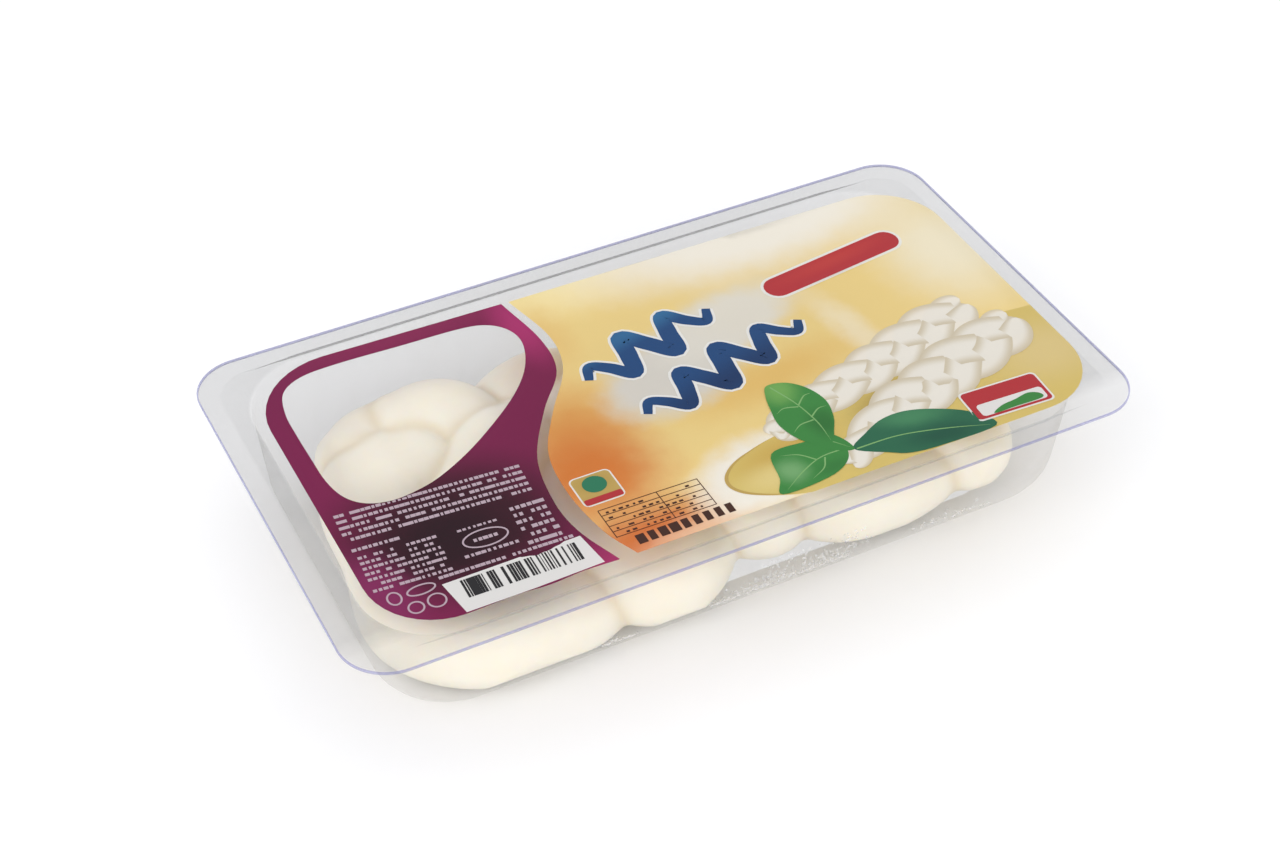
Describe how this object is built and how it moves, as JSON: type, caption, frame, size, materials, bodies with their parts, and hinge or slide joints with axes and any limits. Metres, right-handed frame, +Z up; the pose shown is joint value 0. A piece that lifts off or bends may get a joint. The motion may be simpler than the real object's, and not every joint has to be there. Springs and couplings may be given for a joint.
{
  "type": "braided string cheese pack",
  "caption": "Shut clear tray with a wide flat rim and a printed see-through lid film, holding one thick hand-braided stretched cheese that rests on the tray's floor.",
  "frame": {"origin": "middle of the pack's footprint, on the surface it rests on", "axes": "+X along the pack's length towards the end away from the clear window, +Y across it towards the back, +Z up"},
  "size_m": [0.2, 0.112, 0.0345],
  "materials": {
    "clear_tray": "clear formed polyester sheet, glossy",
    "clear_film": "clear sealing film, glossy, slightly wavy",
    "cheese": "stretched curd cheese, moist satin surface",
    "print_purple": "magenta purple to aubergine ink under the film",
    "print_yellow": "cream, yellow, orange and olive inks in soft blends",
    "print_white": "white ink",
    "print_navy": "navy blue ink",
    "print_green": "green ink, two tones",
    "print_red": "red ink",
    "print_dark": "near black ink",
    "print_cheese": "pale grey and cream inks of the pictured cheese",
    "print_gold": "dull gold ink",
    "condensation": "fine beads of water inside the tray wall"
  },
  "bodies": {
    "root": {"tray": "clear_tray", "lid_film": "clear_film", "cheese_plait": "cheese"}
  },
  "joints": []
}
